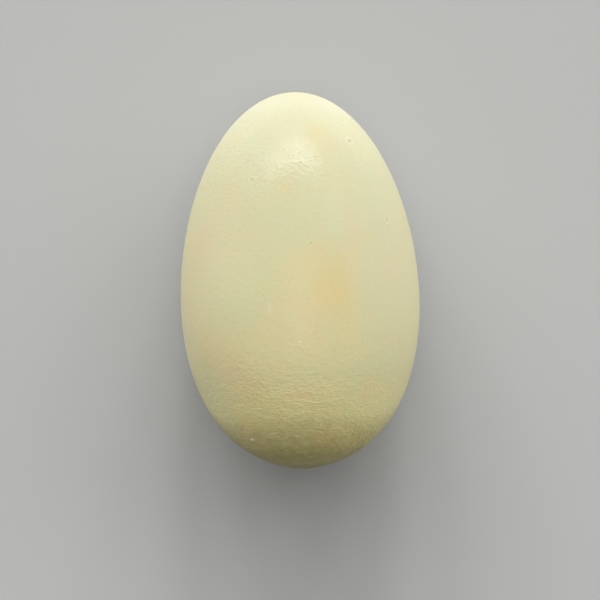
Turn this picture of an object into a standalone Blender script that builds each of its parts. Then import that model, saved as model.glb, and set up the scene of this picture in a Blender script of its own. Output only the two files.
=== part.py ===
"""A mute swan egg, whole and in its shell, lying on its side.

The egg is one turned body. It lies the way a full egg comes to rest on a table, with its middle on
the table and its narrow end a little lower than its blunt end. The origin is the centre of the small
flat spot that it rests on, and the narrow end points along +Y.
"""

import math

import bmesh
import bpy

# Driving dimensions in metres: the length, and the breadth at three places along it.
LENGTH = 0.1140
MIDDLE_BREADTH = 0.0720
NARROW_QUARTER_BREADTH = 0.0599
BLUNT_QUARTER_BREADTH = 0.0663
# How far the flat spot is cut into the rounded side.
FLAT_DEPTH = 0.0002

# Facets from pole to pole, and round the egg.
PROFILE_SPANS = 48
ROUND_STEPS = 72
# Steps of the sums and searches that find where the egg rests.
SUM_STEPS = 4000
SEARCH_STEPS = 60
POLE_MERGE = 1e-5

CUTTER_LENGTH = 0.060
CUTTER_WIDTH = 0.040
CUTTER_HEIGHT = 0.010

SHELL_COLOUR = (0.76, 0.71, 0.47, 1.0)
SHELL_ROUGHNESS = 0.5

HALF_LENGTH = LENGTH / 2
QUARTER_FACTOR = math.sqrt(1 - 0.5**2)


def bulge(along):
    """The profile's half breadth before its ends are rounded off; along runs from -1, blunt, to 1."""
    narrow = NARROW_QUARTER_BREADTH / 2 / QUARTER_FACTOR
    blunt = BLUNT_QUARTER_BREADTH / 2 / QUARTER_FACTOR
    middle = MIDDLE_BREADTH / 2
    lopsided = narrow - blunt
    fullness = 2 * (narrow + blunt) - 4 * middle
    return middle + lopsided * along + fullness * along**2


def radius(height):
    """The egg's radius at a height on its axis, which is 0 halfway along and positive to the narrow end."""
    along = max(-1.0, min(1.0, height / HALF_LENGTH))
    return math.sqrt(1 - along**2) * bulge(along)


def centre_height():
    """The height on the axis of the centre of mass, with the egg full."""
    step = LENGTH / SUM_STEPS
    heights = [-HALF_LENGTH + (i + 0.5) * step for i in range(SUM_STEPS)]
    areas = [radius(height) ** 2 for height in heights]
    return sum(height * area for height, area in zip(heights, areas)) / sum(areas)


def slope(height):
    """How fast the radius grows towards the narrow end."""
    reach = HALF_LENGTH * 1e-4
    return (radius(height + reach) - radius(height - reach)) / (2 * reach)


def resting_height():
    """The height on the axis of the ring that the egg rests on: the centre of mass lies square above it."""
    centre = centre_height()
    low, high = -HALF_LENGTH / 2, HALF_LENGTH / 2
    for _ in range(SEARCH_STEPS):
        middle = (low + high) / 2
        if middle + radius(middle) * slope(middle) < centre:
            low = middle
        else:
            high = middle
    return (low + high) / 2


def shell_material():
    """The pale shell, with a satin surface."""
    material = bpy.data.materials.new("eggshell")
    material.use_nodes = True
    shader = material.node_tree.nodes["Principled BSDF"]
    shader.inputs["Base Color"].default_value = SHELL_COLOUR
    shader.inputs["Roughness"].default_value = SHELL_ROUGHNESS
    shader.inputs["Metallic"].default_value = 0.0
    material.diffuse_color = SHELL_COLOUR
    return material


def collection_named(name):
    """A new collection in the scene."""
    made = bpy.data.collections.new(name)
    bpy.context.scene.collection.children.link(made)
    return made


def profile_mesh():
    """The outline from the narrow pole, at the top, down the outer side to the blunt pole."""
    points = []
    for i in range(PROFILE_SPANS + 1):
        turn = math.pi * i / PROFILE_SPANS
        height = HALF_LENGTH * math.cos(turn)
        points.append((math.sin(turn) * bulge(math.cos(turn)), 0.0, height))
    edges = [(i, i + 1) for i in range(PROFILE_SPANS)]
    mesh = bpy.data.meshes.new("egg")
    mesh.from_pydata(points, edges, [])
    return mesh


def turn_profile(egg):
    """Turns the outline round its axis into a closed body."""
    screw = egg.modifiers.new("turned", "SCREW")
    screw.axis = "Z"
    screw.angle = math.tau
    screw.steps = ROUND_STEPS
    screw.render_steps = ROUND_STEPS
    screw.use_merge_vertices = True
    screw.merge_threshold = POLE_MERGE
    screw.use_smooth_shade = True


def lay_down(egg):
    """Lays the egg on its side at rest, its lowest point as far under z = 0 as the flat spot is deep."""
    height = resting_height()
    tilt = math.atan(-slope(height))
    reach = radius(height)
    egg.rotation_euler = (-(math.pi / 2 + tilt), 0.0, 0.0)
    egg.location = (
        0.0,
        reach * math.sin(tilt) - height * math.cos(tilt),
        reach * math.cos(tilt) + height * math.sin(tilt) - FLAT_DEPTH,
    )


def table_cutter(collection):
    """A block under z = 0 that cuts the flat spot."""
    mesh = bpy.data.meshes.new("table_cutter")
    work = bmesh.new()
    bmesh.ops.create_cube(work, size=1.0)
    bmesh.ops.scale(work, vec=(CUTTER_WIDTH, CUTTER_LENGTH, CUTTER_HEIGHT), verts=work.verts)
    bmesh.ops.translate(work, vec=(0.0, 0.0, -CUTTER_HEIGHT / 2), verts=work.verts)
    work.to_mesh(mesh)
    work.free()
    cutter = bpy.data.objects.new("table_cutter", mesh)
    cutter.hide_render = True
    cutter.display_type = "WIRE"
    collection.objects.link(cutter)
    return cutter


def make_egg(collection, cutter):
    """The whole egg, turned, laid down and cut flat where it rests."""
    egg = bpy.data.objects.new("egg", profile_mesh())
    collection.objects.link(egg)
    egg.data.materials.append(shell_material())
    turn_profile(egg)
    lay_down(egg)
    cut = egg.modifiers.new("flat_spot", "BOOLEAN")
    cut.operation = "DIFFERENCE"
    cut.solver = "EXACT"
    cut.object = cutter
    return egg


def main():
    for leftover in list(bpy.data.objects):
        bpy.data.objects.remove(leftover, do_unlink=True)
    part = collection_named("mute swan egg")
    cutters = collection_named("cutters")
    make_egg(part, table_cutter(cutters))


main()
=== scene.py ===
"""The looks of a mute swan egg: its fine shell, the chalk specks on it and their finish.

The frame holds the plain solid. The shell made here has the same form, with the slight swells, pits and
stained patches of a real one, and painted light and shade in its colour, and takes its place. The egg lies
on its side and the camera looks down on it.
"""

import logging
import math
from dataclasses import dataclass, field
from enum import Enum
from typing import Any

import bpy
import numpy as np
from mathutils import Matrix, Quaternion, Vector, noise


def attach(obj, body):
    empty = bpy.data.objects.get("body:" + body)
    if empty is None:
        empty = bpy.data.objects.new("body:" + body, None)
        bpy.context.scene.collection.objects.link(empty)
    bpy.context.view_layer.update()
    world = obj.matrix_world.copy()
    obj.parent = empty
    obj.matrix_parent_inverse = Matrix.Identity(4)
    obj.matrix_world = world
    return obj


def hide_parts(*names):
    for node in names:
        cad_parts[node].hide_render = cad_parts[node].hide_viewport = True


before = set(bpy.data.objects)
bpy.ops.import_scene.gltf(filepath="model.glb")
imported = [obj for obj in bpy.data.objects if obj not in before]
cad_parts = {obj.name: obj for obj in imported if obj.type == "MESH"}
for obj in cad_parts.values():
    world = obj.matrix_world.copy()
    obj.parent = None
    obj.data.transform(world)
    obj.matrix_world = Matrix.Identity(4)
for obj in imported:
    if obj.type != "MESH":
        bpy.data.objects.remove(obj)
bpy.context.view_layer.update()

LOG = logging.getLogger("mute_swan_egg")
BODY = "root"
NODE = "egg"
MM = 0.001
PICTURE_PIXELS = 600
# Nearly all of a noise lies between these.
NOISE_SWING = (0.3, 0.7)
# Where the side that doesn't show lies round the axis, in degrees from straight up.
HIDDEN_TURNS = (80, 280)

Colour = tuple[float, float, float]
Socket = bpy.types.NodeSocket


def read_points(piece: bpy.types.Object) -> np.ndarray:
    """Reads a mesh's points.

    Args:
        piece: A mesh object.

    Returns:
        One row of x, y and z for each vertex, in the object's own space.
    """
    points = np.empty(len(piece.data.vertices) * 3, np.float32)
    piece.data.vertices.foreach_get("co", points)
    return points.reshape(-1, 3).astype(np.float64)


def write_points(piece: bpy.types.Object, points: np.ndarray) -> None:
    """Moves a mesh's points.

    Args:
        piece: A mesh object.
        points: One row for each vertex.
    """
    piece.data.vertices.foreach_set("co", points.astype(np.float32).ravel())
    piece.data.update()


def rising(values: np.ndarray, start: float, full: float) -> np.ndarray:
    """Gives an even rise.

    Args:
        values: The values.
        start: The value where the rise starts.
        full: The value where it ends.

    Returns:
        For each value a share, 0 before the rise and 1 after it.
    """
    return np.clip((values - start) / (full - start), 0, 1)


def deselect_all() -> None:
    """Deselects every object, because an operator acts on all that is selected."""
    bpy.ops.object.select_all(action="DESELECT")


def select_only(pieces: list[bpy.types.Object]) -> None:
    """Selects some objects and no others, with the first one active.

    Args:
        pieces: The objects.
    """
    deselect_all()
    for piece in pieces:
        piece.select_set(True)
    bpy.context.view_layer.objects.active = pieces[0]


@dataclass(frozen=True)
class Place:
    """A place on the shell.

    Attributes:
        along: Millimetres along the egg's axis, from halfway towards the narrow end.
        turn: Degrees round the axis from the line that faces up, towards +X.
    """

    along: float
    turn: float


@dataclass(frozen=True)
class EggForm:
    """The egg's form, a turned body, and how it lies.

    Its own space has the axis on Z with the narrow end up and the shown side towards -Y.

    Attributes:
        length: From pole to pole, in metres, as all its sizes are.
        middle_breadth: The breadth halfway.
        narrow_quarter_breadth: The breadth halfway from there to the narrow end.
        blunt_quarter_breadth: The breadth halfway from there to the blunt end.
        flat_depth: How deep the flat spot is.
        slope_reach: How far to both sides a slope is measured, as a share of the half length.
        sum_steps: The steps of the sum that finds the centre of mass.
        search_steps: The steps of the search for the ring that it rests on.
    """

    length: float = 0.1140
    middle_breadth: float = 0.0720
    narrow_quarter_breadth: float = 0.0599
    blunt_quarter_breadth: float = 0.0663
    flat_depth: float = 0.0002
    slope_reach: float = 1e-4
    sum_steps: int = 4000
    search_steps: int = 60

    @property
    def half_length(self) -> float:
        """Half the length."""
        return self.length / 2

    def bulge(self, share: np.ndarray | float) -> np.ndarray | float:
        """Gives the half breadth before the ends are rounded off.

        Args:
            share: How far along the axis, from -1 at the blunt end to 1 at the narrow end.

        Returns:
            The half breadth in metres.
        """
        quarter = math.sqrt(1 - 0.5**2)
        narrow = self.narrow_quarter_breadth / 2 / quarter
        blunt = self.blunt_quarter_breadth / 2 / quarter
        middle = self.middle_breadth / 2
        fullness = 2 * (narrow + blunt) - 4 * middle
        return middle + (narrow - blunt) * share + fullness * share**2

    def radius(self, height: float) -> float:
        """Gives the radius at a height on the axis.

        Args:
            height: Metres from halfway, positive towards the narrow end.

        Returns:
            The radius in metres.
        """
        share = max(-1.0, min(1.0, height / self.half_length))
        return math.sqrt(1 - share**2) * self.bulge(share)

    def slope(self, height: float) -> float:
        """Gives how fast the radius grows towards the narrow end.

        Args:
            height: Metres from halfway, positive towards the narrow end.

        Returns:
            The slope, metres of radius for each metre of height.
        """
        reach = self.half_length * self.slope_reach
        return (self.radius(height + reach) - self.radius(height - reach)) / (2 * reach)

    def centre_height(self) -> float:
        """Finds the centre of mass.

        Returns:
            Its height on the axis in metres.
        """
        heights = [self.length * ((i + 0.5) / self.sum_steps - 0.5) for i in range(self.sum_steps)]
        areas = [self.radius(height) ** 2 for height in heights]
        return sum(h * a for h, a in zip(heights, areas)) / sum(areas)

    def resting_height(self) -> float:
        """Finds the ring that the egg rests on, with the centre of mass square above it.

        Returns:
            Its height on the axis in metres.
        """
        centre = self.centre_height()
        low, high = -self.half_length / 2, self.half_length / 2
        for _ in range(self.search_steps):
            middle = (low + high) / 2
            if middle + self.radius(middle) * self.slope(middle) < centre:
                low = middle
            else:
                high = middle
        return (low + high) / 2

    def laid(self) -> Matrix:
        """Lays the egg down on the flat spot.

        Returns:
            The matrix that takes its own space there.
        """
        height = self.resting_height()
        tilt = math.atan(-self.slope(height))
        reach = self.radius(height)
        return Matrix.Translation(
            (
                0.0,
                reach * math.sin(tilt) - height * math.cos(tilt),
                reach * math.cos(tilt) + height * math.sin(tilt) - self.flat_depth,
            )
        ) @ Matrix.Rotation(-(math.pi / 2 + tilt), 4, "X")

    def point(self, place: Place) -> Vector:
        """Gives a place's point in the egg's own space.

        Args:
            place: Where on the shell.

        Returns:
            The point, in metres.
        """
        height, turn = place.along * MM, math.radians(place.turn)
        reach = self.radius(height)
        return Vector((reach * math.sin(turn), -reach * math.cos(turn), height))

    def outward(self, place: Place) -> Vector:
        """Gives the way out of the shell at a place, in the egg's own space.

        Args:
            place: Where on the shell.

        Returns:
            A unit vector.
        """
        turn = math.radians(place.turn)
        return Vector((math.sin(turn), -math.cos(turn), -self.slope(place.along * MM))).normalized()


@dataclass(frozen=True)
class Pit:
    """A pit that shows in the shell.

    Attributes:
        place: Its centre.
        across: Its breadth in millimetres.
        depth: Its depth in millimetres.
        lip: The height of the ring round it in millimetres.
        shade: How dark its middle is, from 0 to 1.
        halo: How pale the ring round it is, from 0 to 1.
    """

    place: Place
    across: float
    depth: float
    lip: float = 0.01
    shade: float = 0.0
    halo: float = 0.0


PITS = (
    Pit(Place(40.4, 42.1), 1.2, 0.09, 0.03, 0.5, 1.3),
    Pit(Place(16.8, 51.9), 0.8, 0.10, 0.03, 0.4, 0.4),
    Pit(Place(14.4, 52.2), 0.6, 0.07, 0.02, 0.3),
    Pit(Place(36.6, 2.6), 0.9, 0.08, 0.03),
    Pit(Place(36.1, -4.5), 0.8, 0.07, 0.02),
    Pit(Place(35.4, 12.1), 0.9, 0.07, 0.03),
    Pit(Place(33.7, 3.2), 1.0, 0.08, 0.03),
    Pit(Place(32.5, 6.2), 0.8, 0.06, 0.02),
    Pit(Place(30.7, -10.2), 0.8, 0.06, 0.02),
    Pit(Place(38.1, -7.4), 0.8, 0.05, 0.02),
    Pit(Place(38.5, 8.2), 0.8, 0.05, 0.02),
    Pit(Place(35.3, -30.8), 0.6, 0.06, 0.01, 0.3),
    Pit(Place(29.4, -25.5), 1.1, 0.05, 0.03, 0.15, 0.6),
    Pit(Place(10.2, 6.1), 0.8, 0.09, 0.03, 0.3, 0.3),
    Pit(Place(14.0, 0.2), 0.6, 0.05),
    Pit(Place(17.3, 16.7), 0.6, 0.05),
    Pit(Place(-23.9, -48.1), 0.6, 0.07, 0.01, 0.4),
    Pit(Place(-20.9, -18.5), 0.5, 0.06, 0.01, 0.3),
    Pit(Place(-14.6, 21.7), 0.6, 0.06),
)


class PatchTint(Enum):
    """The colours that the ground is multiplied by in the middle of a full patch: the tints of stains, and
    the pale and milky tints that also serve the patches of painted light and painted reflection.
    """

    PEACH = (1.05, 0.955, 0.82)
    ROSE = (1.05, 0.95, 0.95)
    UMBER = (0.94, 0.88, 0.80)
    GREEN = (0.955, 1.01, 1.05)
    MILK = (0.99, 1.0, 1.10)
    PALE = (1.08, 1.08, 1.08)


@dataclass(frozen=True)
class ColourPatch:
    """A soft patch of colour in the shell; most are stains, and a few are painted light and painted
    reflection.

    Attributes:
        place: Its centre.
        high: How far it reaches along the axis from its centre, in millimetres.
        wide: How far it reaches round the axis from its centre, in millimetres.
        kind: Its colour.
        strength: From 0, none, to 1, full.
    """

    place: Place
    high: float
    wide: float
    kind: PatchTint
    strength: float


STAINS_AND_PAINTED_LIGHT = (
    ColourPatch(Place(3.1, 13.4), 6, 8, PatchTint.PEACH, 0.55),
    ColourPatch(Place(-3.9, 19.7), 6, 5, PatchTint.PEACH, 0.45),
    ColourPatch(Place(-3.3, 6.6), 8, 7, PatchTint.PEACH, 0.28),
    ColourPatch(Place(-9.1, 9.0), 8, 9, PatchTint.PEACH, 0.30),
    ColourPatch(Place(-10.8, 20.7), 8, 4, PatchTint.PEACH, 0.35),
    ColourPatch(Place(-13.2, -2.7), 4, 6, PatchTint.ROSE, 0.35),
    ColourPatch(Place(27.2, -6.1), 2, 2, PatchTint.PEACH, 0.45),
    ColourPatch(Place(42.7, 16.5), 4, 4, PatchTint.PEACH, 0.50),
    ColourPatch(Place(33.6, 21.3), 7, 4, PatchTint.PEACH, 0.25),
    ColourPatch(Place(10.4, 38.3), 3, 2, PatchTint.PEACH, 0.30),
    ColourPatch(Place(5.3, 49.2), 3, 2, PatchTint.ROSE, 0.45),
    ColourPatch(Place(-17.2, 46.5), 3, 3, PatchTint.ROSE, 0.50),
    ColourPatch(Place(-11.4, -35.0), 3, 3, PatchTint.ROSE, 0.35),
    ColourPatch(Place(-18.3, -45.6), 6, 6, PatchTint.ROSE, 0.30),
    ColourPatch(Place(-25.7, -37.2), 6, 6, PatchTint.ROSE, 0.50),
    ColourPatch(Place(-32.6, -26.3), 5, 6, PatchTint.PEACH, 0.45),
    ColourPatch(Place(-41.9, -39.7), 4, 3, PatchTint.PEACH, 0.60),
    ColourPatch(Place(-33.8, -1.6), 2, 4, PatchTint.ROSE, 0.60),
    ColourPatch(Place(-47.4, 14.4), 3, 3, PatchTint.ROSE, 1.00),
    ColourPatch(Place(-33.6, 35.7), 7, 2, PatchTint.ROSE, 0.65),
    ColourPatch(Place(-22.7, -55.8), 6, 5, PatchTint.UMBER, 0.40),
    ColourPatch(Place(22.5, -40.9), 6, 7, PatchTint.ROSE, 0.35),
    ColourPatch(Place(11.1, -53.7), 8, 6, PatchTint.ROSE, 0.35),
    ColourPatch(Place(-1.9, -64.1), 12, 7, PatchTint.ROSE, 0.30),
    ColourPatch(Place(11.2, 30.2), 14, 3, PatchTint.ROSE, 0.30),
    ColourPatch(Place(35.3, -23.7), 7, 4, PatchTint.GREEN, 0.70),
    ColourPatch(Place(17.0, -3.6), 6, 12, PatchTint.GREEN, 0.60),
    ColourPatch(Place(5.4, -20.8), 7, 7, PatchTint.GREEN, 0.65),
    ColourPatch(Place(-5.4, -28.6), 5, 7, PatchTint.GREEN, 0.65),
    ColourPatch(Place(-10.8, -24.9), 4, 5, PatchTint.GREEN, 0.45),
    ColourPatch(Place(-21.5, 42.0), 9, 6, PatchTint.GREEN, 0.60),
    ColourPatch(Place(-27.5, 28.7), 6, 4, PatchTint.GREEN, 0.50),
    ColourPatch(Place(28.5, 48.5), 9, 5, PatchTint.GREEN, 0.60),
    ColourPatch(Place(13.8, 21.0), 5, 3, PatchTint.GREEN, 0.50),
    ColourPatch(Place(-33.2, -55.6), 6, 5, PatchTint.GREEN, 0.60),
    ColourPatch(Place(-28.7, 7.1), 3, 3, PatchTint.GREEN, 0.50),
    ColourPatch(Place(-0.3, 31.3), 18, 3, PatchTint.GREEN, 0.40),
    # Painted reflection: these two milky patches make both sides bluer, as the gloss does at grazing
    # angles.
    ColourPatch(Place(5.0, 47.0), 24, 14, PatchTint.MILK, 0.80),
    ColourPatch(Place(10.0, -46.0), 13, 9, PatchTint.MILK, 0.60),
    ColourPatch(Place(-13.0, 0.0), 7, 9, PatchTint.MILK, 0.40),
    # Painted light, not a stain: this pale patch brightens the left side of the middle.
    ColourPatch(Place(4.0, -33.0), 12, 11, PatchTint.PALE, 0.80),
    ColourPatch(Place(-8.2, -14.1), 1.2, 0.8, PatchTint.PALE, 0.90),
    ColourPatch(Place(-8.2, -14.1), 1.2, 0.8, PatchTint.MILK, 0.90),
)


class Shift(Enum):
    """How far the coordinates of each noise are moved, so that no two noises are alike."""

    GRAIN = 0.0
    COARSE_MOTTLE = 1.0
    MIDDLE_MOTTLE = 2.0
    FINE_MOTTLE = 3.0
    WRINKLES = 4.0
    SHEEN = 5.0
    SPECKLE = 6.0
    DENTS = 8.0
    PORES = 9.0
    BLOTCHES = 11.0


@dataclass(frozen=True)
class Zone:
    """A stretch of the egg's axis across which a value changes smoothly.

    Attributes:
        start: Where it starts to change, from -1 at the blunt end to 1 at the narrow end.
        end: Where it stops changing.
        before: The value up to the start.
        after: The value from the end on.
    """

    start: float
    end: float
    before: float
    after: float


class Wiring:
    """Adds nodes to one material and links them."""

    def __init__(self, name: str) -> None:
        """Makes the material.

        Args:
            name: The material's name.
        """
        self.material = bpy.data.materials.new(name)
        self.material.use_nodes = True
        self.tree = self.material.node_tree
        self.shader = self.tree.nodes["Principled BSDF"]

    def node(self, kind: str, inputs: dict[str | int, Any], **settings: Any) -> bpy.types.Node:
        """Adds a node.

        Args:
            kind: The node's type name.
            inputs: What each input socket gets, a value or another node's output.
            settings: The node's own properties.

        Returns:
            The node.
        """
        made = self.tree.nodes.new(kind)
        for name, value in settings.items():
            setattr(made, name, value)
        for name, value in inputs.items():
            self.feed(made.inputs[name], value)
        return made

    def feed(self, socket: Socket, value: Any) -> None:
        """Links a socket to an output, or sets it to a value.

        Args:
            socket: The input socket.
            value: A socket, or a number, vector or colour.
        """
        if isinstance(value, bpy.types.NodeSocket):
            self.tree.links.new(value, socket)
        else:
            socket.default_value = value

    def finish(self, inputs: dict[str, Any]) -> None:
        """Sets the shader's inputs.

        Args:
            inputs: What each input gets, a value or another node's output, by the input's name.
        """
        for name, value in inputs.items():
            self.feed(self.shader.inputs[name], value)

    def calculate(self, operation: str, *values: Any) -> Socket:
        """Adds a Math node.

        Args:
            operation: The Math node's operation.
            values: Its inputs.

        Returns:
            Its output.
        """
        return self.node("ShaderNodeMath", dict(enumerate(values)), operation=operation).outputs[0]

    def product(self, *values: Any) -> Socket:
        """Multiplies values.

        Args:
            values: Two or more sockets or numbers.

        Returns:
            Their product.
        """
        result = values[0]
        for value in values[1:]:
            result = self.calculate("MULTIPLY", result, value)
        return result

    def spread(self, value: Any, low: float, high: float, to_low: float, to_high: float) -> Socket:
        """Maps a value smoothly from one range to another, and holds it at the ends.

        Args:
            value: The value.
            low: Where the first range starts.
            high: Where the first range ends.
            to_low: What low becomes.
            to_high: What high becomes.

        Returns:
            The mapped value.
        """
        return self.node(
            "ShaderNodeMapRange",
            {0: value, 1: low, 2: high, 3: to_low, 4: to_high},
            interpolation_type="SMOOTHSTEP",
        ).outputs[0]

    def noise(
        self, place: Socket, size: float, shift: Shift = Shift.GRAIN, detail: float = 2.0
    ) -> Socket:
        """Adds a Noise Texture.

        Args:
            place: The coordinates, in metres.
            size: The size of its patches in metres.
            shift: How far its coordinates are moved.
            detail: How many finer layers it has.

        Returns:
            Its value, about 0.5 on average.
        """
        moved = self.node("ShaderNodeVectorMath", {0: place, 1: (shift.value,) * 3}, operation="ADD")
        inputs = {"Vector": moved.outputs[0], "Scale": 1 / size, "Detail": detail}
        return self.node("ShaderNodeTexNoise", inputs).outputs["Fac"]

    def mix(self, share: Any, first: Any, second: Any, blend: str = "MIX") -> Socket:
        """Mixes two colours.

        Args:
            share: How much of the second, from 0 to 1.
            first: The first colour.
            second: The second colour.
            blend: The way of mixing.

        Returns:
            The mixed colour.
        """
        made = self.tree.nodes.new("ShaderNodeMix")
        made.data_type = "RGBA"
        made.blend_type = blend
        self.feed(made.inputs[0], share)
        self.feed(made.inputs[6], first)
        self.feed(made.inputs[7], second)
        return made.outputs[2]

    def shade(self, pattern: Socket, low: Colour, high: Colour) -> Socket:
        """Turns a noise into a colour.

        Args:
            pattern: The noise.
            low: The colour where it is low.
            high: The colour where it is high.

        Returns:
            The colour.
        """
        return self.mix(self.spread(pattern, *NOISE_SWING, 0.0, 1.0), opaque(low), opaque(high))

    def bump(self, height: Socket, strength: float = 1.0) -> Socket:
        """Adds a Bump node.

        Args:
            height: The relief's height in metres.
            strength: How much of it shows.

        Returns:
            The normal.
        """
        inputs = {"Strength": strength, "Distance": 1.0, "Height": height}
        return self.node("ShaderNodeBump", inputs).outputs[0]


def opaque(colour: Colour) -> tuple[float, float, float, float]:
    """Gives a colour with its fourth value, 1."""
    return (*colour, 1.0)


class EggWiring(Wiring):
    """The wiring of a finish that follows the egg's own axis."""

    def __init__(self, name: str, form: EggForm) -> None:
        """Makes the material and its coordinates in the egg's own space, whose Z is the axis.

        Args:
            name: The material's name.
            form: The egg's form and lie.
        """
        super().__init__(name)
        self.half = form.half_length
        laid = form.laid()
        inputs = {
            "Vector": self.node("ShaderNodeTexCoord", {}).outputs["Object"],
            "Location": laid.translation,
            "Rotation": laid.to_euler(),
        }
        self.place = self.node("ShaderNodeMapping", inputs, vector_type="TEXTURE").outputs[0]
        self.parts = self.node("ShaderNodeSeparateXYZ", {0: self.place}).outputs

    def through(self, zone: Zone) -> Socket:
        """Makes a value that changes across a zone.

        Args:
            zone: The zone.

        Returns:
            The value.
        """
        start, end = zone.start * self.half, zone.end * self.half
        return self.spread(self.parts[2], start, end, zone.before, zone.after)

    def skin_place(self, stretch: float) -> Socket:
        """Makes coordinates that run with the skin from end to end, so that wrinkles keep their size.

        Args:
            stretch: What they are multiplied by across the axis, below 1 for patterns wider than high.

        Returns:
            The coordinates.
        """
        share = self.calculate("DIVIDE", self.parts[2], self.half)
        run = self.product(self.calculate("ARCSINE", share), self.half)
        across = [self.product(part, stretch) for part in self.parts[:2]]
        return self.node("ShaderNodeCombineXYZ", {0: across[0], 1: across[1], 2: run}).outputs[0]


@dataclass(frozen=True)
class Tone:
    """Soft spots of two colours that the ground is multiplied by.

    Attributes:
        size: The spots' size in metres.
        shift: Which noise places them.
        low: The colour where it is low.
        high: The colour where it is high.
    """

    size: float
    shift: Shift
    low: Colour
    high: Colour


GREENISH = (0.990, 1.005, 1.01)
ROSY = (1.010, 0.995, 0.99)
TONES = (
    Tone(0.009, Shift.COARSE_MOTTLE, GREENISH, ROSY),
    Tone(0.003, Shift.MIDDLE_MOTTLE, GREENISH, ROSY),
    Tone(0.0013, Shift.FINE_MOTTLE, GREENISH, ROSY),
    Tone(0.0006, Shift.SPECKLE, (0.988, 0.987, 0.985), (1.012, 1.012, 1.010)),
)


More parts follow.
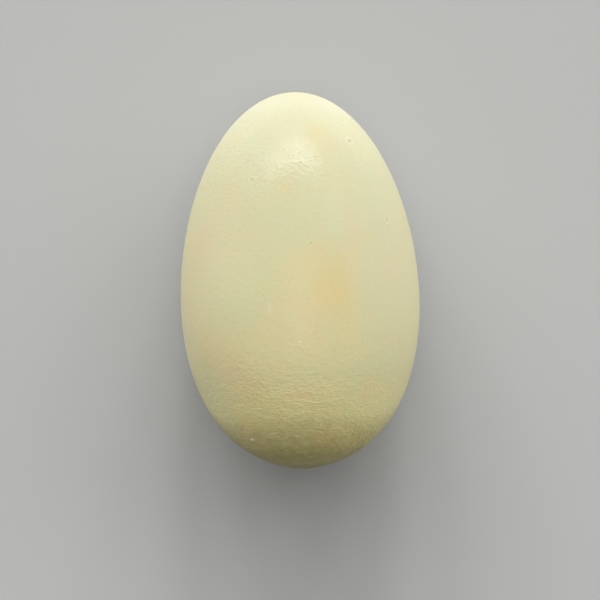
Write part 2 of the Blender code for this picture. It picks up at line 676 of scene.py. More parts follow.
@dataclass(frozen=True)
class ShellFinish:
    """The eggshell: a satin, chalky skin, paler at the narrow end and browner at the blunt end, whose
    ground colour along the axis is partly its own colour and partly painted light and shade.

    Sizes, depths and heights are in metres. The ground's colours stand with their places on the axis,
    from -1 at the blunt end to 1 at the narrow end.
    """

    # Partly the shell's colour, partly painted light and shade: the dark blunt tip is painted shade, and
    # the pale belt at -0.7 is painted light.
    ground_colours_and_painted_shading: tuple[tuple[float, Colour], ...] = (
        (-1.0, (0.430, 0.360, 0.106)),
        (-0.87, (0.755, 0.672, 0.262)),
        (-0.7, (0.885, 0.812, 0.413)),
        (-0.5, (0.730, 0.673, 0.382)),
        (-0.1, (0.660, 0.616, 0.370)),
        (0.2, (0.62, 0.580, 0.350)),
        (0.5, (0.60, 0.572, 0.358)),
        (0.8, (0.61, 0.593, 0.402)),
        (0.92, (0.605, 0.590, 0.428)),
        (1.0, (0.565, 0.545, 0.368)),
    )
    tones: tuple[Tone, ...] = TONES
    # Painted shade for the wrinkles' hollows and painted light for their ridges; the blotches take the
    # same two colours.
    painted_hollow_shade_and_dark_blotch: Colour = (0.93, 0.915, 0.885)
    painted_ridge_light_and_pale_blotch: Colour = (1.06, 1.065, 1.08)
    blotch_size: float = 0.0026
    # Where along the axis the painted wrinkle shade and light and the blotches come in.
    wrinkle_shade_and_blotch_zone: Zone = Zone(-0.66, -0.86, 0.0, 1.0)
    chalkiness: float = 1.0
    roughness: float = 0.48
    roughness_play: float = 0.08
    roughness_patch: float = 0.003
    bloom: float = 0.03
    bloom_roughness: float = 0.4
    shine: float = 0.16
    gloss: float = 0.15
    gloss_density: float = 1.8
    gloss_roughness: float = 0.20
    gloss_relief: float = 0.85
    pore_spacing: float = 0.0020
    pore_rim: tuple[float, float] = (0.06, 0.24)
    pore_patch: float = 0.002
    pore_chance: tuple[float, float] = (0.9, 1.5)
    pore_depth: float = 0.00003
    pore_colour: Colour = (0.35, 0.28, 0.16)
    pore_shade: float = 0.03
    grain_size: float = 0.0004
    grain_height: float = 0.000007
    dent_size: float = 0.0011
    dent_height: float = 0.00006
    dent_growth: Zone = Zone(0.3, 0.65, 1.0, 2.7)
    wrinkle_size: float = 0.00062
    wrinkle_stretch: float = 0.52
    wrinkle_height: float = 0.00018
    wrinkle_belt: Zone = Zone(-0.3, -0.68, 0.10, 1.0)
    wrinkle_growth: Zone = Zone(-0.6, -0.88, 1.0, 4.8)
    wrinkle_calm: Zone = Zone(-0.9, -0.97, 1.0, 0.12)

    def make(self, form: EggForm) -> bpy.types.Material:
        """Makes the material.

        Args:
            form: The egg's form and lie.

        Returns:
            The material.
        """
        wiring = EggWiring("eggshell", form)
        pores = self.pores(wiring)
        height = self.height(wiring, pores)
        dull = wiring.noise(wiring.place, self.roughness_patch, Shift.SHEEN)
        rough = self.roughness - self.roughness_play / 2, self.roughness + self.roughness_play / 2
        wiring.finish(
            {
                "Base Color": self.colour(wiring, pores),
                "Roughness": wiring.spread(dull, *NOISE_SWING, *rough),
                "Diffuse Roughness": self.chalkiness,
                "Sheen Weight": self.bloom,
                "Sheen Roughness": self.bloom_roughness,
                "Specular IOR Level": self.shine,
                "Coat Weight": self.gloss,
                "Coat IOR": self.gloss_density,
                "Coat Roughness": self.gloss_roughness,
                "Normal": wiring.bump(height),
                "Coat Normal": wiring.bump(height, self.gloss_relief),
            }
        )
        return wiring.material

    def pores(self, wiring: EggWiring) -> Socket:
        """Makes the pores, some deep and most not there, in patches.

        Args:
            wiring: The material's wiring.

        Returns:
            1 in the middle of a deep pore and 0 between them.
        """
        inputs = {"Vector": wiring.place, "Scale": 1 / self.pore_spacing, "Randomness": 1.0}
        cells = wiring.node("ShaderNodeTexVoronoi", inputs).outputs
        hole = wiring.spread(cells["Distance"], *self.pore_rim, 1.0, 0.0)
        chance = wiring.node("ShaderNodeSeparateColor", {0: cells["Color"]}).outputs[0]
        patches = wiring.noise(wiring.place, self.pore_patch, Shift.PORES)
        deep = wiring.spread(wiring.calculate("ADD", chance, patches), *self.pore_chance, 0.0, 1.0)
        return wiring.product(hole, deep)

    def colour(self, wiring: EggWiring, pores: Socket) -> Socket:
        """Makes the colour: the ground with its painted light and shade, its tones, the painted shade and
        light of the wrinkles, the blotches, the patches of stain and of painted light and reflection, and
        the pores.

        Args:
            wiring: The material's wiring.
            pores: The pores, 1 in the middle of a deep one.

        Returns:
            The colour.
        """
        colour = self.ground(wiring)
        for tone in self.tones:
            shade = wiring.shade(wiring.noise(wiring.place, tone.size, tone.shift), tone.low, tone.high)
            colour = wiring.mix(1.0, colour, shade, "MULTIPLY")
        colour = self.paint_wrinkle_shade_and_blotches(wiring, colour)
        # The attribute holds the stained patches, the pits' marks and a few patches of painted light and
        # painted reflection.
        stains_and_painted_light = wiring.node("ShaderNodeAttribute", {}, attribute_name="stains_and_painted_light").outputs["Color"]
        colour = wiring.mix(1.0, colour, stains_and_painted_light, "MULTIPLY")
        return wiring.mix(wiring.product(pores, self.pore_shade), colour, opaque(self.pore_colour))

    def ground(self, wiring: EggWiring) -> Socket:
        """Makes the ground colour, which changes along the axis: partly the shell's own colour and partly
        painted light and shade, with painted shade darkening the blunt tip and painted light brightening
        the belt near -0.7.

        Args:
            wiring: The material's wiring.

        Returns:
            The colour.
        """
        inputs = {0: wiring.parts[2], 1: -wiring.half, 2: wiring.half}
        share = wiring.node("ShaderNodeMapRange", inputs).outputs[0]
        ramp = wiring.node("ShaderNodeValToRGB", {0: share})
        stops = ramp.color_ramp.elements
        for place, colour in self.ground_colours_and_painted_shading[1:-1]:
            stops.new((place + 1) / 2).color = opaque(colour)
        stops[0].color = opaque(self.ground_colours_and_painted_shading[0][1])
        stops[-1].color = opaque(self.ground_colours_and_painted_shading[-1][1])
        return ramp.outputs[0]

    def paint_wrinkle_shade_and_blotches(self, wiring: EggWiring, colour: Socket) -> Socket:
        """Paints shade into the hollows between the wrinkles and light onto their ridges, following their
        relief, and adds blotches, both at the blunt end.

        Args:
            wiring: The material's wiring.
            colour: The colour so far.

        Returns:
            The colour with the painted wrinkle shade and light and the blotches.
        """
        wrinkle_shade_and_blotch_zone = wiring.through(self.wrinkle_shade_and_blotch_zone)
        skin = wiring.skin_place(self.wrinkle_stretch)
        wrinkles = wiring.noise(skin, self.wrinkle_size, Shift.WRINKLES)
        blotches = wiring.noise(wiring.place, self.blotch_size, Shift.BLOTCHES, detail=3.0)
        calm = wiring.product(wrinkle_shade_and_blotch_zone, wiring.through(self.wrinkle_calm))
        # The wrinkles get painted shade in their hollows and painted light on their ridges, from the same
        # noise as their relief.
        for pattern, share in ((wrinkles, calm), (blotches, wrinkle_shade_and_blotch_zone)):
            shade = wiring.shade(pattern, self.painted_hollow_shade_and_dark_blotch, self.painted_ridge_light_and_pale_blotch)
            colour = wiring.mix(share, colour, shade, "MULTIPLY")
        return colour

    def height(self, wiring: EggWiring, pores: Socket) -> Socket:
        """Makes the relief.

        Args:
            wiring: The material's wiring.
            pores: The pores, 1 in the middle of a deep one.

        Returns:
            The height in metres of the pores, the grain, the narrow end's dents and the wrinkles together.
        """
        dents = wiring.noise(wiring.place, self.dent_size, Shift.DENTS, detail=1.0)
        skin = wiring.skin_place(self.wrinkle_stretch)
        wrinkles = wiring.noise(skin, self.wrinkle_size, Shift.WRINKLES)
        zones = (self.wrinkle_belt, self.wrinkle_growth, self.wrinkle_calm)
        layers = (
            (wiring.noise(wiring.place, self.grain_size), self.grain_height),
            (dents, wiring.through(self.dent_growth), self.dent_height),
            (wrinkles, *(wiring.through(zone) for zone in zones), self.wrinkle_height),
        )
        relief = wiring.product(pores, -self.pore_depth)
        for layer in layers:
            relief = wiring.calculate("ADD", relief, wiring.product(*layer))
        return relief


class Parts(Enum):
    """The parts of a mesh that can be selected, with the select mode for them."""

    POINTS = ("vertices", (True, False, False))
    FACES = ("polygons", (False, False, True))


@dataclass
class Shell:
    """The fine shell: a ball of quads moulded to the egg's form.

    Sizes and heights are in metres. Places and zones on the axis run from -1 at the blunt end to 1 at the
    narrow end. The lips and halos of pits are measured in half breadths of the pit.

    Attributes:
        form: The egg's form and lie.
        finish: Its finish.
        splits: The cuts of each round that makes the ball.
        pit_splits: The further cuts round pits and nub, and how far they reach, in breadths of the pit.
        map_gap: The gap round each of the map's six faces, as a share of the face.
        skin_gap: How far inside the plain solid the smooth skin lies, which leaves room for the relief.
        fold_layers: The smoothness, spacing and number of the layers that make the folds.
        fold_calm: Over what share of the half length the folds fade at the blunt pole.
        piece: The finished piece.
    """

    form: EggForm
    finish: ShellFinish
    splits: tuple[int, ...] = (1, 2, 3, 4)
    pit_splits: tuple[tuple[float, int], ...] = ((1.4, 1), (1.0, 2))
    map_gap: float = 0.01
    skin_gap: float = 0.00003
    swell_size: float = 0.012
    swell_height: float = 0.00006
    dimple_size: float = 0.003
    dimple_height: float = 0.000008
    fold_size: float = 0.0012
    fold_height: float = 0.00009
    fold_stretch: float = 1.7
    fold_zone: tuple[float, float] = (-0.1, -0.8)
    fold_layers: tuple[float, float, int] = (1.0, 2.0, 2)
    fold_calm: float = 0.10
    hammer_size: float = 0.0020
    hammer_height: float = 0.00003
    hammer_zone: tuple[float, float] = (0.3, 0.8)
    nub_height: float = 0.00033
    nub_reach: float = 0.0013
    blunt_cap: float = -0.9
    pit_tint: Colour = (0.72, 0.60, 0.55)
    lip_place: float = 1.3
    lip_width: float = 0.35
    halo_tint: Colour = (1.05, 1.06, 1.12)
    halo_place: float = 1.8
    halo_width: float = 0.7
    hidden_stains: int = 26
    hidden_along: tuple[float, float] = (-0.9, 0.8)
    hidden_high: tuple[float, float] = (3, 9)
    hidden_wide: tuple[float, float] = (3, 8)
    hidden_strength: tuple[float, float] = (0.3, 0.8)
    seed: int = 7
    piece: bpy.types.Object = field(init=False)

    def build(self) -> bpy.types.Object:
        """Builds and dresses the shell.

        Returns:
            The finished piece.
        """
        self.piece = self.ball()
        self.refine()
        self.mould()
        self.swell("swells", self.swell_size, self.swell_height)
        self.swell("dimples", self.dimple_size, self.dimple_height)
        self.group("narrow_end", *self.hammer_zone)
        self.swell("hammering", self.hammer_size, self.hammer_height, "narrow_end")
        self.wrinkle()
        self.press()
        self.paint_stains_and_light()
        self.lay()
        self.flatten_foot()
        self.dress()
        return self.piece

    def ball(self) -> bpy.types.Object:
        """Adds a cube and splits and rounds it until it is a ball of even quads.

        Returns:
            The ball.
        """
        deselect_all()
        bpy.ops.mesh.primitive_cube_add(size=self.form.length, calc_uvs=True)
        ball = bpy.context.object
        ball.name = "shell"
        self.spread_map(ball)
        bpy.ops.object.mode_set(mode="EDIT")
        for cuts in self.splits:
            bpy.ops.mesh.select_all(action="SELECT")
            bpy.ops.mesh.subdivide(number_cuts=cuts)
            bpy.ops.transform.tosphere(value=1.0)
        bpy.ops.object.mode_set(mode="OBJECT")
        return ball

    def spread_map(self, cube: bpy.types.Object) -> None:
        """Spreads the cube's six faces over its whole map, in two rows of three.

        Args:
            cube: The cube.
        """
        layer = cube.data.uv_layers[0]
        layer.name = "OFBake"
        for face in cube.data.polygons:
            row, column = divmod(face.index, 3)
            for corner, (across, up) in zip(face.loop_indices, ((0, 0), (1, 0), (1, 1), (0, 1))):
                across, up = (self.map_gap + (1 - 2 * self.map_gap) * share for share in (across, up))
                layer.data[corner].uv = ((column + across) / 3, (row + up) / 2)

    def moulded(self, points: np.ndarray) -> np.ndarray:
        """Moves points of the ball to their places on the egg.

        Args:
            points: One row for each point.

        Returns:
            The moved points, in the egg's own space.
        """
        ball = points / np.linalg.norm(points, axis=1)[:, None]
        breadth = self.form.bulge(ball[:, 2]) - self.skin_gap
        height = self.form.half_length - self.skin_gap
        return ball * np.stack([breadth, breadth, np.full(len(ball), height)], 1)

    def refine(self) -> None:
        """Splits the faces round the pits and the nub, so that these have a shape."""
        spots = [(self.form.point(pit.place), pit.across * MM) for pit in PITS]
        spots.append((Vector((0, 0, -self.form.half_length)), 2 * self.nub_reach))
        for reach, cuts in self.pit_splits:
            centres = np.empty(len(self.piece.data.polygons) * 3, np.float32)
            self.piece.data.polygons.foreach_get("center", centres)
            centres = self.moulded(centres.reshape(-1, 3).astype(np.float64))
            near = np.zeros(len(centres), bool)
            for spot, across in spots:
                near |= np.linalg.norm(centres - np.array(spot), axis=1) < across * reach
            self.select(Parts.FACES, near)
            bpy.ops.mesh.subdivide(number_cuts=cuts)
            bpy.ops.object.mode_set(mode="OBJECT")

    def select(self, parts: Parts, wanted: np.ndarray) -> None:
        """Goes to edit mode with some parts of the mesh selected.

        Args:
            parts: Points or faces.
            wanted: For each of them whether it is selected.
        """
        name, mode = parts.value
        bpy.context.tool_settings.mesh_select_mode = mode
        bpy.ops.object.mode_set(mode="EDIT")
        bpy.ops.mesh.select_all(action="DESELECT")
        bpy.ops.object.mode_set(mode="OBJECT")
        getattr(self.piece.data, name).foreach_set("select", wanted)
        bpy.ops.object.mode_set(mode="EDIT")

    def mould(self) -> None:
        """Moulds the ball to the egg's form."""
        write_points(self.piece, self.moulded(read_points(self.piece)))

    def group(self, name: str, start: float, full: float) -> None:
        """Groups the points of one end, with a weight that grows towards it.

        Args:
            name: The group's name.
            start: Where the weight is 0, from -1 at the blunt end to 1 at the narrow end.
            full: Where it is 1.
        """
        share = read_points(self.piece)[:, 2] / self.form.half_length
        weights = rising(share, start, full)
        made = self.piece.vertex_groups.new(name=name)
        for index in np.flatnonzero(weights):
            made.add([int(index)], float(weights[index]), "REPLACE")

    def swell(self, name: str, size: float, height: float, group: str = "") -> None:
        """Raises and lowers the skin in soft patches.

        Args:
            name: What the modifier and its texture are called.
            size: The size of the patches in metres.
            height: The height from the lowest to the highest in metres.
            group: The vertex group that they keep to.
        """
        texture = bpy.data.textures.new(name, "CLOUDS")
        texture.noise_scale = size
        texture.noise_depth = 1
        patches = self.piece.modifiers.new(name, "DISPLACE")
        patches.texture = texture
        patches.texture_coords = "LOCAL"
        patches.vertex_group = group
        patches.strength = height
        patches.mid_level = 0.5
        bpy.ops.object.modifier_apply(modifier=name)

    def wrinkle(self) -> None:
        """Wrinkles the skin across the axis, more and more towards the blunt end."""
        points = read_points(self.piece)
        half = self.form.half_length
        share = np.clip(points[:, 2] / half, -1, 1)
        skin = np.stack([points[:, 0], points[:, 1], half * np.arcsin(share)], 1) / self.fold_size
        skin[:, :2] /= self.fold_stretch
        rise = np.array([noise.fractal(place, *self.fold_layers) for place in skin])
        rise *= self.fold_height * rising(share, *self.fold_zone)
        rise *= np.clip((share + 1) / self.fold_calm, 0, 1)
        outward = np.empty(len(points) * 3, np.float32)
        self.piece.data.vertex_normals.foreach_get("vector", outward)
        write_points(self.piece, points + rise[:, None] * outward.reshape(-1, 3))

    def distance(self, points: np.ndarray, pit: Pit) -> np.ndarray:
        """Measures how far points are from a pit's middle.

        Args:
            points: One row for each point, in the egg's own space.
            pit: The pit.

        Returns:
            The distances in half breadths of the pit.
        """
        middle = np.array(self.form.point(pit.place))
        return np.linalg.norm(points - middle, axis=1) / (pit.across * MM / 2)

    def press(self) -> None:
        """Presses the pits in, each with a low lip, and raises the nub at the blunt end."""
        points = read_points(self.piece)
        for pit in PITS:
            out = np.array(self.form.outward(pit.place))
            far = self.distance(points, pit)
            hole = -pit.depth * np.clip(1 - far**2, 0, None) ** 2
            lip = pit.lip * np.exp(-(((far - self.lip_place) / self.lip_width) ** 2))
            points += (hole + lip)[:, None] * MM * out
        far = np.hypot(points[:, 0], points[:, 1]) / self.nub_reach
        at_end = points[:, 2] < self.blunt_cap * self.form.half_length
        points[:, 2] -= self.nub_height * at_end * np.exp(-(far**2))
        write_points(self.piece, points)

    def all_stains_and_light(self) -> list[ColourPatch]:
        """Draws the stained patches of the side that doesn't show by lot.

        Returns:
            The patches that show, stains and painted light, and these.
        """
        draw = np.random.default_rng(self.seed)
        kinds = list(PatchTint)
        hidden = [
            ColourPatch(
                Place(
                    draw.uniform(*self.hidden_along) * self.form.half_length / MM,
                    draw.uniform(*HIDDEN_TURNS),
                ),
                draw.uniform(*self.hidden_high),
                draw.uniform(*self.hidden_wide),
                kinds[draw.integers(len(kinds))],
                draw.uniform(*self.hidden_strength),
            )
            for _ in range(self.hidden_stains)
        ]
        return [*STAINS_AND_PAINTED_LIGHT, *hidden]

    def paint_stains_and_light(self) -> None:
        """Paints the patches of stain and of painted light and reflection, with the pits' middles and
        halos, into an attribute that the finish multiplies its ground by.
        """
        points = read_points(self.piece)
        paint = np.zeros((len(points), 3))
        for stain in self.all_stains_and_light():
            away = points - np.array(self.form.point(stain.place))
            up = away[:, 2] / (stain.high * MM)
            sideways = np.linalg.norm(away[:, :2], axis=1) / (stain.wide * MM)
            share = stain.strength * np.exp(-(up**2 + sideways**2))
            paint += share[:, None] * np.log(np.array(stain.kind.value))
        for pit in PITS:
            far = self.distance(points, pit)
            middle = pit.shade * np.exp(-(far**2))
            halo = pit.halo * np.exp(-(((far - self.halo_place) / self.halo_width) ** 2))
            paint += middle[:, None] * np.log(np.array(self.pit_tint))
            paint += halo[:, None] * np.log(np.array(self.halo_tint))
        colours = np.concatenate([np.exp(paint), np.ones((len(points), 1))], 1)
        layer = self.piece.data.attributes.new("stains_and_painted_light", "FLOAT_COLOR", "POINT")
        layer.data.foreach_set("color", colours.astype(np.float32).ravel())

    def lay(self) -> None:
        """Lays the egg down, with its place in its mesh."""
        self.piece.matrix_world = self.form.laid()
        bpy.ops.object.transform_apply(location=True, rotation=True, scale=True)

    def flatten_foot(self) -> None:
        """Flattens what is under the flat spot."""
        self.select(Parts.POINTS, read_points(self.piece)[:, 2] < 0)
        bpy.ops.transform.resize(value=(1, 1, 0), center_override=(0, 0, 0))
        bpy.ops.object.mode_set(mode="OBJECT")

    def dress(self) -> None:
        """Gives the shell its finish, and sets it in the frame in the plain solid's place."""
        bpy.ops.object.shade_smooth()
        self.piece.data.materials.clear()
        self.piece.data.materials.append(self.finish.make(self.form))
        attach(self.piece, BODY)
        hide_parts(NODE)


class SpeckForm(Enum):
    """How wide, long and thick a speck is, against its breadth."""

    GRAIN = (1.0, 1.0, 0.7)
    FLAKE = (2.2, 1.0, 0.3)
    CRUMB = (1.2, 0.9, 0.5)


@dataclass(frozen=True)
class Speck:
    """A speck of chalk on the shell.

    Attributes:
        place: Where it sits.
        across: Its breadth in millimetres.
        form: Its form.
        turn: Degrees that it is turned on the shell.
    """

    place: Place
    across: float
    form: SpeckForm
    turn: float = 0.0


SPECKS = (
    Speck(Place(-46.9, -43.1), 1.40, SpeckForm.GRAIN),
    Speck(Place(-45.9, -19.3), 0.80, SpeckForm.FLAKE, 4.0),
    Speck(Place(-46.0, -5.7), 0.80, SpeckForm.CRUMB, 30.0),
    Speck(Place(-18.1, -0.5), 0.42, SpeckForm.FLAKE, -8.0),
    Speck(Place(15.5, 51.7), 0.40, SpeckForm.CRUMB, 60.0),
)


@dataclass(frozen=True)
class ChalkFinish:
    """Chalk: a dull, almost white skin with a fine grain."""

    colour: Colour = (1.0, 0.95, 0.68)
    dark_colour: Colour = (0.93, 0.87, 0.57)
    roughness: float = 0.8
    shine: float = 0.2
    grain_size: float = 0.00015
    grain_height: float = 0.00001

    def make(self) -> bpy.types.Material:
        """Makes the material.

        Returns:
            The material.
        """
        wiring = Wiring("chalk")
        grain = wiring.noise(wiring.node("ShaderNodeTexCoord", {}).outputs["Object"], self.grain_size)
        wiring.finish(
            {
                "Base Color": wiring.mix(grain, opaque(self.dark_colour), opaque(self.colour)),
                "Roughness": self.roughness,
                "Specular IOR Level": self.shine,
                "Normal": wiring.bump(wiring.product(grain, self.grain_height)),
            }
        )
        return wiring.material


@dataclass
class ChalkSpecks:
    """The few specks of chalk that stand on the shell.

    Attributes:
        form: The egg's form and lie.
        finish: Their finish.
        shell: The shell that they stand on.
        splits: How often a speck's ball is split.
        roughening: How far the ball's points are moved at random, against its breadth.
        smoothing: How much each round of smoothing takes off.
        smoothings: The rounds of smoothing.
        sunk: How deep a speck is sunk in, against its breadth.
        drop: From how high it is let down on the shell, in metres.
        hidden_specks: How many there are on the side that doesn't show.
        hidden_along: Where on the axis these are, from -1 at the blunt end to 1 at the narrow end.
        hidden_across: Their breadths in millimetres.
        hidden_turn: How far they are turned, in degrees.
        seed: The seed that these are drawn with.
        piece: The finished piece.
    """

    form: EggForm
    finish: ChalkFinish
    shell: bpy.types.Object
    splits: int = 3
    roughening: float = 0.14
    smoothing: float = 0.5
    smoothings: int = 2
    sunk: float = 0.10
    drop: float = 0.003
    hidden_specks: int = 14
    hidden_along: tuple[float, float] = (-0.9, 0.6)
    hidden_across: tuple[float, float] = (0.25, 0.55)
    hidden_turn: tuple[float, float] = (-40, 40)
    seed: int = 3
    piece: bpy.types.Object = field(init=False)

    def build(self) -> bpy.types.Object:
        """Builds and dresses the specks.

        Returns:
            The finished piece.
        """
        patterns = {form: self.pattern(form) for form in SpeckForm}
        specks = [self.set_down(patterns[speck.form], speck) for speck in self.all_specks()]
        select_only(list(patterns.values()))
        bpy.ops.object.delete()
        select_only(specks)
        bpy.ops.object.join()
        self.piece = specks[0]
        self.piece.name = "chalk_specks"
        self.dress()
        return self.piece

    def pattern(self, form: SpeckForm) -> bpy.types.Object:
        """Models one speck of a form, one metre across.

        Args:
            form: Its form.

        Returns:
            The pattern, to be copied.
        """
        deselect_all()
        bpy.ops.mesh.primitive_ico_sphere_add(subdivisions=self.splits, radius=0.5)
        bpy.ops.object.mode_set(mode="EDIT")
        bpy.ops.mesh.select_all(action="SELECT")
        bpy.ops.transform.vertex_random(offset=self.roughening, seed=list(SpeckForm).index(form))
        bpy.ops.mesh.vertices_smooth(factor=self.smoothing, repeat=self.smoothings)
        bpy.ops.transform.resize(value=form.value)
        bpy.ops.object.mode_set(mode="OBJECT")
        return bpy.context.object

    def all_specks(self) -> list[Speck]:
        """Draws the specks of the side that doesn't show by lot.

        Returns:
            The specks that show, and these.
        """
        draw = np.random.default_rng(self.seed)
        forms = list(SpeckForm)
        hidden = [
            Speck(
                Place(
                    draw.uniform(*self.hidden_along) * self.form.half_length / MM,
                    draw.uniform(*HIDDEN_TURNS),
                ),
                draw.uniform(*self.hidden_across),
                forms[draw.integers(len(forms))],
                draw.uniform(*self.hidden_turn),
            )
            for _ in range(self.hidden_specks)
        ]
        return [*SPECKS, *hidden]

    def set_down(self, pattern: bpy.types.Object, speck: Speck) -> bpy.types.Object:
        """Copies a pattern, with a mesh of its own, to a speck's place on the shell.

        Args:
            pattern: The pattern of its form.
            speck: The speck.

        Returns:
            The copy, with its place in its mesh.
        """
        select_only([pattern])
        bpy.ops.object.duplicate()
        copy = bpy.context.object
        laid = self.form.laid()
        out = laid.to_3x3() @ self.form.outward(speck.place)
        above = laid @ self.form.point(speck.place) + out * self.drop
        skin = self.shell.ray_cast(above, -out)[1]
        sideways = (laid.to_3x3() @ Vector((0, 0, 1))).cross(out).normalized()
        copy.matrix_world = (
            Matrix.Translation(skin - out * self.sunk * speck.across * MM)
            @ Matrix((sideways, out.cross(sideways), out)).transposed().to_4x4()
            @ Matrix.Rotation(math.radians(speck.turn), 4, "Z")
            @ Matrix.Scale(speck.across * MM, 4)
        )
        bpy.ops.object.transform_apply(location=True, rotation=True, scale=True)
        return copy

    def dress(self) -> None:
        """Gives the specks their finish and sets them in the frame."""
        bpy.ops.object.shade_smooth()
        self.piece.data.materials.clear()
        self.piece.data.materials.append(self.finish.make())
        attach(self.piece, BODY)


@dataclass(frozen=True)
class Lamp:
    """A far, broad studio lamp.

    Attributes:
        name: What it is called.
        lean: Degrees from straight overhead.
        bearing: Degrees round from over the narrow end, towards +X.
        strength: Its strength.
        spread: How broad it looks from the egg, in degrees.
    """

    name: str
    lean: float
    bearing: float
    strength: float
    spread: float

    def build(self) -> bpy.types.Object:
        """Adds the lamp.

        Returns:
            The light object.
        """
        lean, bearing = math.radians(self.lean), math.radians(self.bearing)
        towards = Vector(
            (math.sin(lean) * math.sin(bearing), math.sin(lean) * math.cos(bearing), math.cos(lean))
        )
        deselect_all()
        bpy.ops.object.light_add(type="SUN", rotation=towards.to_track_quat("Z", "Y").to_euler())
        lamp = bpy.context.object
        lamp.name = self.name
        lamp.data.energy = self.strength
        lamp.data.angle = math.radians(self.spread)
        return lamp


LAMPS = (
    Lamp("overhead", 0, 0, 0.35, 30),
    Lamp("key_right", 37, 60, 0.21, 70),
    Lamp("satin", 56, 0, 2.25, 90),
    Lamp("satin_far_left", 64, -26, 0.40, 12),
    Lamp("satin_left", 64, -11, 0.64, 12),
    Lamp("satin_middle", 64, 6, 1.00, 12),
    Lamp("satin_right", 64, 21, 0.42, 12),
    Lamp("right", 65, 60, 0.57, 46),
    Lamp("left_low", 84, -50, 0.63, 40),
    Lamp("right_low", 84, 50, 0.17, 40),
    Lamp("back_fill", 80, 180, 0.10, 60),
)


@dataclass(frozen=True)
class RimLight:
    """A half ring of strip lamps on the floor round one end of the egg, which the camera doesn't see.

    They face up, so they brighten the edge of the egg's end and not the floor.

    Attributes:
        name: What each strip is called.
        end: 1 for the narrow end, -1 for the blunt end.
        strips: Each strip's bearing in degrees from beyond the end, towards +X, and its power in watts.
        radius: The ring's radius in metres.
        inset: How far the ring's middle is from the end, in metres.
        step: Degrees of the ring that a strip takes up.
        width: A strip's width in metres.
        height: How high over the floor they lie, in metres.
        lean: Degrees that they lean towards the egg.
        spread: How broad their beam is, in degrees.
    """

    name: str = "rim_strip"
    end: int = 1
    strips: tuple[tuple[float, float], ...] = (
        (-66, 0.0180),
        (-44, 0.0540),
        (-22, 0.0165),
        (22, 0.0145),
        (44, 0.0460),
        (66, 0.0155),
    )
    radius: float = 0.1727
    inset: float = 0.0227
    step: float = 23.0
    width: float = 0.012
    height: float = 0.002
    lean: float = 5.0
    spread: float = 170.0

    def build(self, form: EggForm) -> None:
        """Adds the strips.

        Args:
            form: The egg's form and lie.
        """
        pole = form.laid() @ Vector((0, 0, self.end * form.half_length))
        middle = Vector((0, pole.y - self.end * self.inset, self.height))
        for bearing, power in self.strips:
            self.strip(middle, math.radians(bearing), power)

    def strip(self, middle: Vector, bearing: float, power: float) -> bpy.types.Object:
        """Adds one strip.

        Args:
            middle: The ring's middle.
            bearing: The strip's bearing in radians.
            power: Its power in watts.

        Returns:
            The light object.
        """
        out = Vector((math.sin(bearing), self.end * math.cos(bearing), 0))
        along = Vector((out.y, -out.x, 0))
        lean = math.radians(self.lean)
        back = out * math.sin(lean) - Vector((0, 0, math.cos(lean)))
        deselect_all()
        bpy.ops.object.light_add(type="AREA")
        lamp = bpy.context.object
        lamp.name = self.name
        lamp.matrix_world = Matrix.Translation(middle + out * self.radius) @ (
            Matrix((along, back.cross(along), back)).transposed().to_4x4()
        )
        lamp.visible_camera = False
        lamp.data.shape = "RECTANGLE"
        lamp.data.size = 2 * self.radius * math.tan(math.radians(self.step / 2))
        lamp.data.size_y = self.width
        lamp.data.energy = power
        lamp.data.spread = math.radians(self.spread)
        return lamp


RIM_LIGHTS = (
    RimLight(),
    RimLight("back_strip", -1, tuple((bearing, 0.005) for bearing in (-46, -23, 0, 23, 46)), 0.110),
)


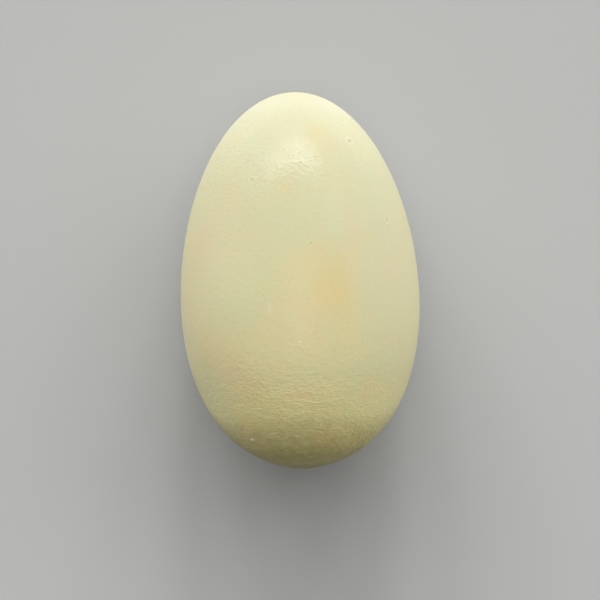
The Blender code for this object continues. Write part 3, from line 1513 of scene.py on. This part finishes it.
@dataclass(frozen=True)
class Studio:
    """A plain pale floor, soft lamps and a pale backdrop.

    Attributes:
        form: The egg's form and lie.
        lamps: The far lamps.
        rim_lights: The half rings of strips near the egg.
        floor_radius: The floor's radius in metres.
        floor_sides: How many sides its edge has.
        floor_colour: The colour that it shows.
        floor_bounce: The colour that it lights other things with.
        floor_roughness: Its roughness.
        backdrop_colour: The colour behind all.
        ambient: The light that comes from all round.
    """

    form: EggForm
    lamps: tuple[Lamp, ...] = LAMPS
    rim_lights: tuple[RimLight, ...] = RIM_LIGHTS
    floor_radius: float = 6.0
    floor_sides: int = 96
    floor_colour: Colour = (0.46, 0.46, 0.45)
    floor_bounce: Colour = (0.16, 0.16, 0.16)
    floor_roughness: float = 0.9
    backdrop_colour: Colour = (0.55, 0.55, 0.54)
    ambient: float = 0.035

    def build(self) -> None:
        """Builds the floor, the lamps and the backdrop."""
        self.floor()
        for lamp in self.lamps:
            lamp.build()
        for rim_light in self.rim_lights:
            rim_light.build(self.form)
        self.backdrop()

    def floor(self) -> None:
        """Lays the floor, which looks pale but throws little light back at the egg."""
        deselect_all()
        bpy.ops.mesh.primitive_circle_add(
            vertices=self.floor_sides, radius=self.floor_radius, fill_type="NGON"
        )
        floor = bpy.context.object
        floor.name = "floor"
        wiring = Wiring("floor")
        thrown = wiring.node("ShaderNodeLightPath", {}).outputs["Is Diffuse Ray"]
        colour = wiring.mix(thrown, opaque(self.floor_colour), opaque(self.floor_bounce))
        wiring.finish({"Base Color": colour, "Roughness": self.floor_roughness, "Specular IOR Level": 0.0})
        floor.data.materials.append(wiring.material)

    def backdrop(self) -> None:
        """Gives the world a plain backdrop that hardly lights the egg."""
        world = bpy.data.worlds.new("studio")
        world.use_nodes = True
        bpy.context.scene.world = world
        tree = world.node_tree
        seen = tree.nodes.new("ShaderNodeBackground")
        seen.inputs[0].default_value = opaque(self.backdrop_colour)
        light = tree.nodes["Background"]
        light.inputs[0].default_value = (1.0, 1.0, 1.0, 1.0)
        light.inputs[1].default_value = self.ambient
        ray = tree.nodes.new("ShaderNodeLightPath")
        mix = tree.nodes.new("ShaderNodeMixShader")
        tree.links.new(ray.outputs["Is Camera Ray"], mix.inputs[0])
        tree.links.new(light.outputs[0], mix.inputs[1])
        tree.links.new(seen.outputs[0], mix.inputs[2])
        tree.links.new(mix.outputs[0], tree.nodes["World Output"].inputs[0])


@dataclass(frozen=True)
class StudioCamera:
    """The camera, square over the egg's axis, as in the photograph.

    Attributes:
        middle_pixel: Where the picture shows the point halfway along the egg's axis.
        millimetres_a_pixel: The scale at the axis.
        lean: Degrees that the egg's narrow end leans left in the picture.
        distance: From the camera to the axis, in metres.
        film: The sensor's width, in Blender's millimetres.
    """

    middle_pixel: tuple[float, float] = (299.37, 280.06)
    millimetres_a_pixel: float = 0.30362
    lean: float = 2.02
    distance: float = 0.65
    film: float = 36.0

    def build(self, form: EggForm) -> bpy.types.Object:
        """Adds the camera.

        Args:
            form: The egg's form and lie.

        Returns:
            The camera object.
        """
        laid = form.laid()
        back = -(laid.to_3x3() @ Vector((0, 1, 0)))
        axis = laid.to_3x3() @ Vector((0, 0, 1))
        up = Quaternion(back, math.radians(-self.lean)) @ axis
        right = up.cross(back)
        pixel = self.millimetres_a_pixel * MM
        half = PICTURE_PIXELS / 2
        aim = laid.translation + right * (half - self.middle_pixel[0]) * pixel
        aim -= up * (half - self.middle_pixel[1]) * pixel
        deselect_all()
        bpy.ops.object.camera_add()
        camera = bpy.context.object
        camera.matrix_world = Matrix.Translation(aim + back * self.distance) @ (
            Matrix((right, up, back)).transposed().to_4x4()
        )
        camera.data.sensor_width = self.film
        camera.data.lens = self.film * self.distance / (PICTURE_PIXELS * pixel)
        bpy.context.scene.camera = camera
        return camera


def main() -> None:
    """Builds the egg, the studio and the camera."""
    logging.basicConfig(level=logging.INFO, format="%(message)s")
    form = EggForm()
    shell = Shell(form, ShellFinish()).build()
    LOG.info("%s: %d faces", shell.name, len(shell.data.polygons))
    specks = ChalkSpecks(form, ChalkFinish(), shell).build()
    LOG.info("%s: %d faces", specks.name, len(specks.data.polygons))
    Studio(form).build()
    StudioCamera().build(form)
    bpy.context.scene.view_settings.view_transform = "Standard"


if __name__ == "__main__":
    main()
